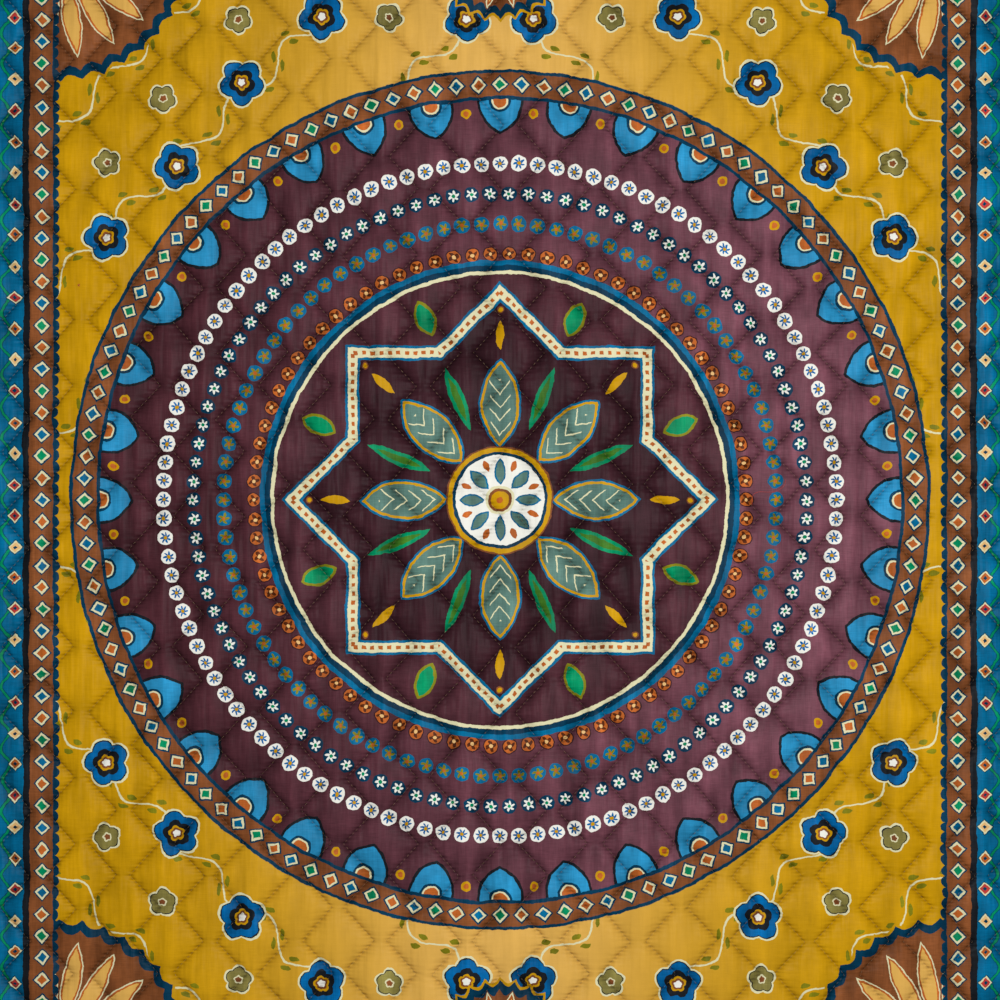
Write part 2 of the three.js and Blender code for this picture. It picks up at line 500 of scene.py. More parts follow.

# %% [markdown]
# ## Where each point lies among its sewing
#
# Each stitch pulls small puckers, so the material has to know how far along a sewn line a point lies and
# how far from it. It also takes how closely the sewing on all sides holds the cloth there, which is most
# of all in the necks, and paints shade in the troughs by it. All three are kept on the points. Where the
# zigzags meet the end hem, the puckers of the two would clash, so there the distance is made large and
# they fade out.

# %% Three values on each point
STRETCH = math.hypot(2 * SWING, REPEAT / 2)
HOLD_REACH = 8
MEETING, FAR_AWAY = 6, 40

hold = sum(np.exp(-d / HOLD_REACH) for d in (to_left, to_right, to_end))
to_line = np.minimum(to_left, to_right)
along_line = np.where(to_end < to_line, net[..., 0], row_turn[:, None] * STRETCH)
to_pucker = to_seam + FAR_AWAY * np.exp(-(((to_end - to_line) / MEETING) ** 2))


def sewing_values(profile, row_step, column_step):
    """Millimetres along the nearest line and away from it, and the hold, for a net with its hem."""
    rings = len(profile)
    along, away, held = (np.pad(value[::row_step, ::column_step], rings, "edge")
                         for value in (along_line, to_pucker, hold))
    row_ring, column_ring = (rings_out(count - 2 * rings, rings) for count in away.shape)
    shares = np.array([0] + [share for share, height in profile])
    away = away + HEM_WIDTH * shares[np.maximum(row_ring[:, None], column_ring)]
    return np.stack([along, away, held], axis=-1).reshape(-1, 3)


back_values = sewing_values(BACK_HEM, BACK_ROWS, BACK_COLUMNS)
sewing = np.concatenate([sewing_values(FACE_HEM, 1, 1), back_values])
mesh.attributes.new("sewing", "FLOAT_VECTOR", "POINT").data.foreach_set("vector", sewing.ravel())
print(f"up to {sewing[:, 1].max():.0f} mm from the sewing, held {hold.min():.2f} to {hold.max():.2f}")

# %% [markdown]
# ## Stitches
#
# A lockstitch shows as a row of short threads, each dipping into the cloth at both ends. Real quilting
# thread is about 0.3 mm thick, which is too fine to show, so it is drawn at 0.85 mm. There are over
# 18,000 stitches, so each is a plain four-sided spindle of a few faces.

# %% The shape of one stitch
STITCH_PITCH = 5.9
STITCH_LENGTH = 4.8
THREAD_WIDTH = 0.85
THREAD_SINK = 0.35
SIDES = 4


def stitch_shape(sink):
    """A thread along X, fullest in the middle, with both ends sunk in the cloth."""
    half = STITCH_LENGTH / 2
    section = [(math.cos(a) / 2, math.sin(a) / 2) for a in np.arange(SIDES) * math.tau / SIDES]
    thread = [(x, THREAD_WIDTH * y, THREAD_WIDTH * up)
              for x in (-half / 2, half / 2) for y, up in section]
    thread += [(-half, 0, -sink), (half, 0, -sink)]
    near_end, far_end = 2 * SIDES, 2 * SIDES + 1
    faces = []
    for i in range(SIDES):
        j = (i + 1) % SIDES
        faces += [(i, j, j + SIDES, i + SIDES), (j, i, near_end), (i + SIDES, j + SIDES, far_end)]
    shape = bpy.data.meshes.new("stitch")
    shape.from_pydata([tuple(MM * value for value in point) for point in thread], [], faces)
    shape.shade_smooth()
    return bpy.data.objects.new("stitch", shape)


face_stitch = stitch_shape(THREAD_SINK)
back_stitch = stitch_shape(-THREAD_SINK)
print("one stitch has", len(face_stitch.data.polygons), "faces")

# %% [markdown]
# A machine lays the same stitch again and again along a line, and so does a Geometry Nodes tree. It
# turns a sewn line into a curve, cuts the curve into stitch lengths and places one thread on each cut,
# turned along the line. The sizes come in by name, so one tree sews both sides of the cloth.

# %% The tree that sews along a line
SEWING_SEED = 7

sewing_tree = bpy.data.node_groups.new("sew_along_lines", "GeometryNodeTree")
sewing_tree.interface.new_socket("Geometry", in_out="INPUT", socket_type="NodeSocketGeometry")
for name, kind in (("Pitch", "NodeSocketFloat"), ("Uneven", "NodeSocketFloat"),
                   ("Stitch", "NodeSocketObject"), ("Thread", "NodeSocketMaterial")):
    sewing_tree.interface.new_socket(name, in_out="INPUT", socket_type=kind)
sewing_tree.interface.new_socket("Geometry", in_out="OUTPUT", socket_type="NodeSocketGeometry")
given = sewing_tree.nodes.new("NodeGroupInput").outputs
line = add(sewing_tree, "GeometryNodeMeshToCurve", {"Mesh": given["Geometry"]})
cut = add(sewing_tree, "GeometryNodeResampleCurve", {"Curve": line, "Length": given["Pitch"]},
          mode="LENGTH")
shape = add(sewing_tree, "GeometryNodeObjectInfo", {"Object": given["Stitch"]}, out="Geometry")
tangent = add(sewing_tree, "GeometryNodeInputTangent")
turned = add(sewing_tree, "FunctionNodeAlignRotationToVector", {"Vector": tangent}, axis="X",
             pivot_axis="Z")
least = add(sewing_tree, "ShaderNodeMath", {0: 1.0, 1: given["Uneven"]}, operation="SUBTRACT")
size = add(sewing_tree, "FunctionNodeRandomValue", {2: least, 3: 1.0, "Seed": SEWING_SEED}, out=1,
           data_type="FLOAT")
row = add(sewing_tree, "GeometryNodeInstanceOnPoints",
          {"Points": cut, "Instance": shape, "Rotation": turned, "Scale": size})
real = add(sewing_tree, "GeometryNodeRealizeInstances", {"Geometry": row})
sewn = add(sewing_tree, "GeometryNodeSetMaterial", {"Geometry": real, "Material": given["Thread"]})
add(sewing_tree, "NodeGroupOutput", {"Geometry": sewn})
print("the sewing tree has", len(sewing_tree.nodes), "nodes")

# %% [markdown]
# The needle's path is the same on both sides. On the face a line lies in the bottom of its trough, and
# on the underside it lies a little higher than the floor, so the thread isn't crushed under the cloth.

# %% All sewn lines as edges
def sewn_lines(height, name):
    """One mesh of edges: the zigzags, and once round the hem."""
    level = np.dstack([net, height])
    runs = [level[:, column] for column in range(COLUMNS, net.shape[1] - 1, COLUMNS)]
    runs.append(np.concatenate([level[0], level[1:, -1], level[-1, -2::-1], level[-2::-1, 0]]))
    starts = np.cumsum([0] + [len(run) for run in runs])
    edges = np.concatenate([np.stack([np.arange(a, b - 1), np.arange(a + 1, b)], 1)
                            for a, b in zip(starts[:-1], starts[1:])])
    shape = bpy.data.meshes.new(name)
    shape.from_pydata((np.concatenate(runs) * MM).tolist(), edges.tolist(), [])
    made = bpy.data.objects.new(name, shape)
    bpy.context.collection.objects.link(made)
    return made


FACE_THREAD_UP = 0.1
BACK_THREAD_DOWN = 0.15
face_lines = sewn_lines(top + FACE_THREAD_UP, "face_lines")
back_lines = sewn_lines(under - BACK_THREAD_DOWN, "back_lines")
print("each side has", len(face_lines.data.edges), "short straights to sew along")

# %% [markdown]
# The tree now runs over the lines of each side. What it makes is kept as a plain mesh, and the lines,
# their modifier and the sample stitches are thrown away.

# %% Sew the face and the underside
UNEVEN = 0.2


def sew(guide, stitch, name):
    """Runs the tree over the sewn lines and keeps its result as a plain mesh."""
    modifier = guide.modifiers.new("sewing", "NODES")
    modifier.node_group = sewing_tree
    values = {"Pitch": STITCH_PITCH * MM, "Uneven": UNEVEN, "Stitch": stitch, "Thread": sewing_thread}
    for item in sewing_tree.interface.items_tree:
        if item.item_type == "SOCKET" and item.name in values:
            modifier[item.identifier] = values[item.name]
    result = guide.evaluated_get(bpy.context.evaluated_depsgraph_get())
    plain = bpy.data.meshes.new_from_object(result)
    bpy.data.objects.remove(guide)
    bpy.data.objects.remove(stitch)
    plain.name = name
    made = bpy.data.objects.new(name, plain)
    bpy.context.collection.objects.link(made)
    print(f"{name}: {len(plain.polygons) // (3 * SIDES)} stitches")
    return made


sewing_thread = bpy.data.materials.new("clear_nylon_thread")
face_stitches = sew(face_lines, face_stitch, "face_stitches")
back_stitches = sew(back_lines, back_stitch, "back_stitches")

# %% [markdown]
# ## Loose fibres
#
# A throw in use gathers loose bits. There is a long red fibre, the snipped end of a thread, and a speck
# of lint, which is a short fibre in a tangle. Each follows a few listed places, and the lint a few
# random ones with a fixed seed.
#
# One fault is left here: the thread's end and the lint should be white, but they come out red. A strand
# keeps the number of its material only while its curve has materials, and these are added later, to the
# mesh. Adding both to the curve, before it becomes a mesh, would mend it.

# %% Paths over the cloth, in millimetres
RED_FIBRE = [(294, -6), (293, 4), (299, 10), (312, 9), (322, 10), (331, 16), (333, 24)]
WHITE_END = [(-568, -98), (-565, -91), (-558, -88)]
LINT_PLACE, LINT_SIZE, LINT_TURNS, LINT_SEED = (-490, 250), 1.7, 12, 5
ROUNDS = 3


def rounded(path):
    """Cuts the corners of a path again and again, until it is smooth."""
    for _ in range(ROUNDS):
        near, far = path[:-1] * 0.75 + path[1:] * 0.25, path[:-1] * 0.25 + path[1:] * 0.75
        path = np.concatenate([path[:1], np.stack([near, far], axis=1).reshape(-1, 2), path[-1:]])
    return path


tangle = np.random.default_rng(LINT_SEED).uniform(-LINT_SIZE, LINT_SIZE, (LINT_TURNS, 2)) + LINT_PLACE
FIBRES = [
    # thickness, material, path
    (0.45, 0, np.array(RED_FIBRE)),
    (0.9, 1, np.array(WHITE_END)),
    (0.35, 1, tangle),
]
print("a rounded path has", len(rounded(FIBRES[0][2])), "points")

# %% [markdown]
# A fibre is a thin tube along its path. It has to lie on the cloth, over crowns and troughs, so the
# height of each of its points is found by looking straight down on the cloth.

# %% One mesh of tubes
LIFT = 0.6

cloth_under = BVHTree.FromPolygons(points.tolist(), faces)
strands = bpy.data.curves.new("loose_fibres", "CURVE")
strands.dimensions = "3D"
strands.bevel_depth = MM / 2
strands.bevel_resolution = 1
strands.use_fill_caps = True
for thickness, material, path in FIBRES:
    way = rounded(path)
    fibre = strands.splines.new("POLY")
    fibre.points.add(len(way) - 1)
    fibre.material_index = material
    for point, (x, y) in zip(fibre.points, way * MM):
        cloth_height = cloth_under.ray_cast((x, y, 1), (0, 0, -1))[0].z
        point.co = (x, y, cloth_height + thickness * LIFT * MM, 1)
        point.radius = thickness

guide = bpy.data.objects.new("loose_fibres_guide", strands)
bpy.context.collection.objects.link(guide)
tubes = bpy.data.meshes.new_from_object(guide.evaluated_get(bpy.context.evaluated_depsgraph_get()))
bpy.data.objects.remove(guide)
loose_fibres = bpy.data.objects.new("loose_fibres", tubes)
bpy.context.collection.objects.link(loose_fibres)
print("the loose fibres have", len(tubes.polygons), "faces")

# %% [markdown]
# ## Dyes
#
# The face is printed with a few strong dyes over plum, mustard and teal. The outlines are drawn in navy
# and charcoal, like felt pen. The dyes were set in rounds, against the typical colours of areas in the
# photograph.

# %% The dyes
PLUM, LIGHT_PLUM, DEEP_PLUM, DARK_PLUM = "#48242B", "#70424E", "#4C2830", "#371B22"
MUSTARD, PALE_MUSTARD, OLIVE = "#C49206", "#DDAC55", "#7F7A14"
RUST, DARK_RUST, ORANGE, TAN = "#824B28", "#562710", "#B86026", "#E2B678"
TEAL, DARK_TEAL, NAVY = "#00658F", "#00465F", "#023650"
SKY, BLUE, CHARCOAL, RED = "#2889B8", "#00609C", "#181B20", "#B43A34"
CREAM, WHITE = "#DAD5AC", "#E9E8DE"
EMERALD, LEAF, GREY_GREEN, GREY_OLIVE = "#008759", "#3E7020", "#587A70", "#857B40"
print("plum is", [round(part, 3) for part in linear(PLUM)[:3]])

# %% [markdown]
# A print is mostly arithmetic: distances, angles and repeats. So a formula is written as text, and the
# function below turns it into nodes. It reads the formula with Python's own parser, adds one node for
# each step, and joins a product and a sum into one Multiply Add.

# %% A formula as nodes
SIGNS = {ast.Add: "ADD", ast.Sub: "SUBTRACT", ast.Mult: "MULTIPLY", ast.Div: "DIVIDE"}
WORDS = {
    "abs": "ABSOLUTE", "min": "MINIMUM", "max": "MAXIMUM", "round": "ROUND", "sin": "SINE",
    "cos": "COSINE", "atan2": "ARCTAN2", "bounce": "PINGPONG", "below": "LESS_THAN",
    "above": "GREATER_THAN", "near": "COMPARE", "mod": "FLOORED_MODULO", "power": "POWER",
    "exp": "EXPONENT",
}


def is_sum_of_product(part):
    return (isinstance(part, ast.BinOp) and isinstance(part.op, ast.Add)
            and isinstance(part.left, ast.BinOp) and isinstance(part.left.op, ast.Mult))


def formula(tree, text, **values):
    """Adds the nodes of a formula whose names are sockets or numbers."""
    def step(part):
        if isinstance(part, ast.Constant):
            return part.value
        if isinstance(part, ast.Name):
            return values[part.id]
        if isinstance(part, ast.UnaryOp):
            return -step(part.operand)
        if isinstance(part, ast.Call):
            operation, parts = WORDS[part.func.id], part.args
        elif is_sum_of_product(part):
            operation, parts = "MULTIPLY_ADD", (part.left.left, part.left.right, part.right)
        else:
            operation, parts = SIGNS[type(part.op)], (part.left, part.right)
        inputs = {i: step(given) for i, given in enumerate(parts)}
        return add(tree, "ShaderNodeMath", inputs, operation=operation)

    return step(ast.parse(text).body[0].value)


print("a formula knows", ", ".join(WORDS))

# %% [markdown]
# Three helpers do the printing. Ink lays bands of dye over a ground, along a line or round a centre, as
# a ring or an outline is drawn. Each band reaches up to its own number of millimetres. The ramp is a
# little longer than the last band, so it has room to end in the ground again.

# %% Ink
RAMP_SPARE = 1.05


def set_stops(ramp, reaches, dyes):
    """Steps a colour ramp from dye to dye. Where the dye is None, it is clear."""
    stops = ramp.node.color_ramp
    stops.interpolation = "CONSTANT"
    for i, (reach, dye) in enumerate(zip(reaches, dyes)):
        stop = stops.elements[i] if i < 2 else stops.elements.new(reach)
        stop.position = reach
        stop.color = linear(dye) if dye else (0, 0, 0, 0)


def ink(tree, ground, place, bands, start=0.0, beyond=None, centre=None):
    """Lays bands of dye: each reaches up to its own number, and past the last there is the ground."""
    if centre:
        place = add(tree, "ShaderNodeVectorMath", {0: place, 1: (*centre, 0)}, out="Value",
                    operation="DISTANCE")
    width = (bands[-1][0] - start) * RAMP_SPARE
    share = formula(tree, "place * scale + shift", place=place, scale=1 / width, shift=-start / width)
    ramp = add(tree, "ShaderNodeValToRGB", {0: share})
    reaches = [0.0] + [(reach - start) / width for reach, dye in bands]
    set_stops(ramp, reaches, [dye for reach, dye in bands] + [beyond])
    return add(tree, "ShaderNodeMix", {0: ramp.node.outputs["Alpha"], 6: ground, 7: ramp}, out=2,
               data_type="RGBA")


print("ink lays bands of dye")

# %% [markdown]
# A stamp prints one dye where a mask is 1, or one of several dyes by turns. An almond is where two
# circles overlap: half of it is enough, because every almond here lies on a mirror line.

# %% Stamps and almonds
def stamp(tree, ground, mask, dyes, kind=None):
    """Prints a dye where the mask is 1. Of several dyes, the kind, from 0 to 1, picks one."""
    dye = linear(dyes) if kind is None else add(tree, "ShaderNodeValToRGB", {0: kind})
    if kind is not None:
        set_stops(dye, [i / len(dyes) for i in range(len(dyes))], dyes)
    return add(tree, "ShaderNodeMix", {0: mask, 6: ground, 7: dye}, out=2, data_type="RGBA")


def almond(tree, ground, place, middle, half_length, half_width, inks):
    """An almond along the second axis of place, inked up to so many millimetres from its edge."""
    radius = (half_length**2 + half_width**2) / (2 * half_width)
    return ink(tree, ground, place, [(radius - inset, dye) for inset, dye in inks],
               start=radius - half_width - 1, centre=(half_width - radius, middle))


print("a stamp prints by a mask, and an almond between two circles")

# %% [markdown]
# ## Printed cotton
#
# The face is fine plain-woven cotton, dyed by printing and pressed smooth, which gives strong matt dyes
# with a soft low shine. The printing comes first. The map gives the flat cloth in millimetres, and a
# slow noise pushes every point a little, so no printed line is ruler straight.

# %% Flat cloth, moved by the unsteady hand
HAND_SCALE = 38
HAND_REACH = 9
HAND_DETAIL, HAND_ROUGHNESS = 4, 0.72

printed_cotton = bpy.data.materials.new("printed_cotton")
tree = empty_tree(printed_cotton)
cloth = add(tree, "ShaderNodeUVMap", uv_map="OFBake")
flat_cloth = add(tree, "ShaderNodeMapping", {
    "Vector": cloth, "Scale": (2 * map_half[0] / FACE_SHARE, 2 * map_half[1], 0),
    "Location": (-map_half[0] - HAND_REACH / 2, -map_half[1] - HAND_REACH / 2, 0)})
shake = add(tree, "ShaderNodeTexNoise", {
    "Vector": flat_cloth, "Scale": 1 / HAND_SCALE, "Detail": HAND_DETAIL,
    "Roughness": HAND_ROUGHNESS}, out="Color")
drawn = add(tree, "ShaderNodeVectorMath", {0: shake, 1: (HAND_REACH, HAND_REACH, 0), 2: flat_cloth},
            operation="MULTIPLY_ADD")
x = add(tree, "ShaderNodeSeparateXYZ", {0: drawn})
y = x.node.outputs["Y"]
print("the hand strays up to", HAND_REACH / 2, "mm")

# %% [markdown]
# The layout is that of a rug: a round centre on a field, inside a border. It mirrors left and right and
# end to end, and turns round the middle. So the motifs share four measures: the distance from each
# middle line, the distance from the middle, and the angle round it. The ground is plum, paler to the
# right.

# %% Shared measures, and the ground
GROUND_FADE = 700

aside = formula(tree, "abs(x)", x=x)
along = formula(tree, "abs(y)", y=y)
quarter = add(tree, "ShaderNodeCombineXYZ", {0: aside, 1: along})
from_middle = add(tree, "ShaderNodeVectorMath", {0: drawn}, out="Value", operation="LENGTH")
turn = formula(tree, "atan2(y, x)", x=x, y=y)
fade = formula(tree, "x / reach + 0.5", x=x, reach=GROUND_FADE)
colour = add(tree, "ShaderNodeMix", {0: fade, 6: linear(PLUM), 7: linear(LIGHT_PLUM)}, out=2,
             data_type="RGBA")
print("the print starts with", len(tree.nodes), "nodes")

# %% [markdown]
# ## Rings of whirls
#
# Four rings of small whirls lie on the plum. They are 35 mm apart and each has ten whirls more than the
# one inside it, which keeps them evenly spaced. Each ring has its own dyes and its own number of arms.

# %% Rings of whirls
WHIRL_PITCH = 22
WHIRL_TWIST = 0.3
RING_GAP = 35
RING_COUNT = 4
INNER_RING = 287
INNER_WHIRLS = 82
MORE_WHIRLS = 10
LEAST_ARMS = 4
ARM_WAIST, ARM_SWELL = 0.72, 0.3
RIM, DISC, ARM_LENGTH, EYE = 8.9, 7.6, 6.6, 2.1

out = formula(tree, "r - first", r=from_middle, first=INNER_RING)
ring = formula(tree, "min(round(out / gap), last)", out=out, gap=RING_GAP, last=RING_COUNT - 1)
count = formula(tree, "ring * more + least", ring=ring, more=MORE_WHIRLS / math.tau,
                least=INNER_WHIRLS / math.tau)
around = formula(tree, "turn * count", turn=turn, count=count)
u = formula(tree, "(around - round(around)) * pitch", around=around, pitch=WHIRL_PITCH)
v = formula(tree, "ring * gap + out", ring=ring, gap=-RING_GAP, out=out)
whirl = add(tree, "ShaderNodeCombineXYZ", {0: u, 1: v})
reach = add(tree, "ShaderNodeVectorMath", {0: whirl}, out="Value", operation="LENGTH")
arms = formula(tree, "reach / (cos(reach * twist + atan2(v, u) * (ring + least)) * swell + waist)",
               reach=reach, twist=WHIRL_TWIST, u=u, v=v, ring=ring, least=LEAST_ARMS,
               swell=ARM_SWELL, waist=ARM_WAIST)
kind = formula(tree, "ring * step + half", ring=ring, step=1 / RING_COUNT, half=0.5 / RING_COUNT)
layers = [
    # measured by, as far as, dyes from the inner ring to the outer one
    (reach, RIM, [DARK_PLUM, TEAL, NAVY, WHITE]),
    (reach, DISC, [ORANGE, TEAL, NAVY, WHITE]),
    (arms, ARM_LENGTH, [DARK_RUST, OLIVE, WHITE, BLUE]),
    (reach, EYE, [TAN, ORANGE, EMERALD, MUSTARD]),
]
for measure, limit, dyes in layers:
    mask = formula(tree, "below(measure, limit)", measure=measure, limit=limit)
    colour = stamp(tree, colour, mask, dyes, kind)
print("rings of", [INNER_WHIRLS + i * MORE_WHIRLS for i in range(RING_COUNT)], "whirls")

# %% [markdown]
# ## Arches and the rust band
#
# Round the whirls stand blue arches with a small sun at the foot of each and a bead between them. They
# are drawn by angle, so they fan out evenly, and each is the overlap of two circles on its own middle
# line.

# %% Arches
ARCHES = 36
ARCH_BASE = 466
BEAD_RING = 452
BEAD_ASIDE = 40
ARCH_HALF_WIDTH = 27
ARCH_RADIUS = 43.1
ARCH_LINE = 3.3
ARCH_RAMP_FROM = 16
SUN_INKS = [(8, ORANGE), (10, CREAM), (13, NAVY)]
BEAD_INKS = [(3.5, ORANGE), (6, MUSTARD)]

u = formula(tree, "bounce(turn, half) * r", turn=turn, half=math.pi / ARCHES, r=from_middle)
arch = add(tree, "ShaderNodeCombineXYZ", {0: u, 1: from_middle})
colour = ink(tree, colour, arch, [(ARCH_RADIUS - ARCH_LINE, SKY), (ARCH_RADIUS, CHARCOAL)],
             start=ARCH_RAMP_FROM, centre=(ARCH_HALF_WIDTH - ARCH_RADIUS, ARCH_BASE))
colour = ink(tree, colour, arch, SUN_INKS, centre=(0, ARCH_BASE))
colour = ink(tree, colour, arch, BEAD_INKS, centre=(BEAD_ASIDE, BEAD_RING))
print(ARCHES, "arches, each", 2 * ARCH_HALF_WIDTH, "mm wide")

# %% [markdown]
# The round centre is closed by a rust band between two navy lines. Beyond it lies the mustard field,
# which is paler towards the middle of each end.

# %% The rings of the ground, and the field
STAR_GROUND, ROUND_EDGE = 262, 501
GROUND_RINGS = [
    (STAR_GROUND, DEEP_PLUM), (266, CREAM), (272, NAVY), (278, TEAL), (ARCH_BASE, None), (470, NAVY),
    (497, RUST), (ROUND_EDGE, NAVY),
]
PALE_WITHIN = 190

colour = ink(tree, colour, from_middle, GROUND_RINGS, beyond=MUSTARD)
on_field = formula(tree, "above(r, edge)", r=from_middle, edge=ROUND_EDGE)
pale = formula(tree, "exp(x * x * fade) * field", x=aside, fade=-1 / PALE_WITHIN**2, field=on_field)
colour = stamp(tree, colour, pale, PALE_MUSTARD)
print("a round centre", 2 * ROUND_EDGE, "mm wide on a mustard field")

# %% [markdown]
# The band has a row of lozenges whose hearts change dye in threes. A lozenge is where two distances,
# each as a share of its half width, add up to less than 1.

# %% Lozenges on the band
LOZENGES = 120
LOZENGE_HALF = 11
LOZENGE_STRETCH = 2.3
HEART_SHARE, CREAM_SHARE, NAVY_SHARE = 0.52, 0.8, 1.04
BAND_MIDDLE = 484

count = formula(tree, "turn * scale", turn=turn, scale=LOZENGES / math.tau)
shape = formula(tree, "bounce(count, 0.5) * stretch + abs(r - middle) / half", count=count,
                stretch=LOZENGE_STRETCH, r=from_middle, middle=BAND_MIDDLE, half=LOZENGE_HALF)
colour = ink(tree, colour, shape, [(CREAM_SHARE, CREAM), (NAVY_SHARE, NAVY)])
kind = formula(tree, "(mod(round(count), 3) + 0.5) / 3", count=count)
inside = formula(tree, "below(shape, heart)", shape=shape, heart=HEART_SHARE)
colour = stamp(tree, colour, inside, [EMERALD, ORANGE, TEAL], kind)
print(LOZENGES, "lozenges on the band")

# %% [markdown]
# ## The star
#
# The middle is an eight-pointed star with a dashed cream edge. The angle is folded 16 times, so one
# wedge draws the whole star. The places on a point and between two points are measured along their
# own middle lines.

# %% The star's edge
STAR_EDGE = 172
POINTS = 8
STAR_INKS = [(STAR_EDGE - 9, DARK_PLUM), (STAR_EDGE - 6, TEAL), (STAR_EDGE + 5, CREAM),
             (STAR_EDGE + 8, TEAL)]
STAR_RAMP_FROM = STAR_EDGE - 40
DASH_MIDDLE, DASH_HALF_WIDTH, DASH_PITCH, DASH_LENGTH = STAR_EDGE - 0.5, 2.1, 14, 6.8

wedge = formula(tree, "bounce(turn, half)", turn=turn, half=math.pi / POINTS)
other = formula(tree, "half - wedge", half=math.pi / POINTS, wedge=wedge)
out = formula(tree, "cos(wedge) * r", wedge=wedge, r=from_middle)
side = formula(tree, "sin(wedge) * r", wedge=wedge, r=from_middle)
point = add(tree, "ShaderNodeCombineXYZ", {0: side, 1: out})
between = add(tree, "ShaderNodeCombineXYZ", {
    0: formula(tree, "sin(other) * r", other=other, r=from_middle),
    1: formula(tree, "cos(other) * r", other=other, r=from_middle)})
edge = formula(tree, "(out + side) * slant", out=out, side=side, slant=math.sqrt(0.5))
star = ink(tree, colour, edge, STAR_INKS, start=STAR_RAMP_FROM)
dashes = formula(tree, "near(edge, middle, half) * below(bounce(side - out, pitch), length)",
                 edge=edge, middle=DASH_MIDDLE, half=DASH_HALF_WIDTH, side=side, out=out,
                 pitch=DASH_PITCH / 2, length=DASH_LENGTH / 2)
star = stamp(tree, star, dashes, ORANGE)
print(POINTS, "points, each", round(STAR_EDGE / math.sqrt(0.5)), "mm from the middle")

# %% [markdown]
# Eight veined petals lie on the points, and long and short leaves between them, with a bud and a bead
# beyond each petal. All but the bead are almonds. The star is laid only inside its own ground.

# %% Petals, leaves and buds
VEIN_SLANT, VEIN_PITCH, VEIN_WIDTH, FIRST_VEIN = 1.2, 16, 2.2, 60
VEINS_MIDDLE, VEINS_HALF_LENGTH, VEINS_HALF_WIDTH = 108, 33, 12
BEAD_PLACE, STAR_BEAD = 222, [(2.6, MUSTARD), (4, RUST)]
STAR_ALMONDS = [
    # on, middle, half length, half width, inks by their distance from the edge
    (between, 228, 22, 12, [(3, EMERALD), (0, OLIVE)]),
    (between, 128, 40, 8, [(4, LEAF), (0, EMERALD)]),
    (point, 112, 52, 25, [(5.5, GREY_GREEN), (2.5, MUSTARD), (0, TEAL)]),
    (point, 192, 18, 5, [(0, MUSTARD)]),
]

for place, *sizes, inks in STAR_ALMONDS:
    star = almond(tree, star, place, *sizes, inks)
veins = formula(tree, "below(bounce(side * slant - out + first, pitch), width)", side=side,
                slant=VEIN_SLANT, out=out, first=FIRST_VEIN, pitch=VEIN_PITCH / 2, width=VEIN_WIDTH / 2)
veined = formula(tree, "veins * near(out, middle, length) * below(side, width)", veins=veins, out=out,
                 middle=VEINS_MIDDLE, length=VEINS_HALF_LENGTH, side=side, width=VEINS_HALF_WIDTH)
star = stamp(tree, star, veined, CREAM)
star = ink(tree, star, point, STAR_BEAD, centre=(0, BEAD_PLACE))
within = formula(tree, "below(r, ground)", r=from_middle, ground=STAR_GROUND)
colour = add(tree, "ShaderNodeMix", {0: within, 6: colour, 7: star}, out=2, data_type="RGBA")
print("with its star the print has", len(tree.nodes), "nodes")

# %% [markdown]
# The heart of the star is a white disc with green petals and small seeds round a mustard button.

# %% The heart
DISC_INKS = [(52, WHITE), (56, NAVY), (61, MUSTARD), (63, RUST)]
BUTTON_INKS = [(4, ORANGE), (11, MUSTARD), (14, RUST), (17, CREAM)]
HEART_ALMONDS = [
    # on, middle, half length, half width, inks by their distance from the edge
    (between, 42, 7, 3.5, [(0, ORANGE)]),
    (point, 33, 15, 7, [(1.8, GREY_GREEN), (0, TEAL)]),
]

colour = ink(tree, colour, from_middle, DISC_INKS)
for place, *sizes, inks in HEART_ALMONDS:
    colour = almond(tree, colour, place, *sizes, inks)
colour = ink(tree, colour, from_middle, BUTTON_INKS)
print("the heart brings it to", len(tree.nodes), "nodes")

# %% [markdown]
# ## Stalks and blossoms
#
# The field is sown on a square grid that is laid out from the middle. Cream stalks run slantwise through
# every second row of its places, winding a little, with olive leaves in pairs beside them.

# %% Stalks on the field
SOWING = 88
SOWN_FROM = (30, 36)
WIND_RATE, WIND_REACH = 0.05, 17
STALK_HALF_WIDTH = 1.7
LEAF_PITCH, LEAF_PLACE = 42, 10
LEAF_HALF_LENGTH, LEAF_HALF_WIDTH = 8, 5

across = formula(tree, "x - y", x=aside, y=along)
stalk = formula(tree, "bounce(x + y + sin(across * rate) * reach - start, gap)", x=aside, y=along,
                across=across, rate=WIND_RATE, reach=WIND_REACH, start=sum(SOWN_FROM), gap=SOWING)
line = formula(tree, "below(stalk, half) * field", stalk=stalk, half=STALK_HALF_WIDTH, field=on_field)
colour = stamp(tree, colour, line, CREAM)
past = formula(tree, "bounce(across, half) / length", across=across, half=LEAF_PITCH / 2,
               length=LEAF_HALF_LENGTH)
leaf = formula(tree, "past * past + abs(stalk - place) / width", past=past, stalk=stalk,
               place=LEAF_PLACE, width=LEAF_HALF_WIDTH)
leaves = formula(tree, "below(leaf, 1) * field", leaf=leaf, field=on_field)
colour = stamp(tree, colour, leaves, OLIVE)
print("stalks every", 2 * SOWING, "mm, measured along each middle line")

# %% [markdown]
# Each blossom is pushed off its place on the grid by a random bit, so the field looks drawn by hand. It
# is left out where its whole circle wouldn't fit between the centre, the border and the corner fans.

# %% Where a blossom stands
FIELD_HALF_WIDTH, FIELD_HALF_LENGTH = 513, 640
CORNER_FAN, END_FAN = 156, 84
BLOSSOM = 29
BLOSSOM_GAP = 2
PUSH = 24

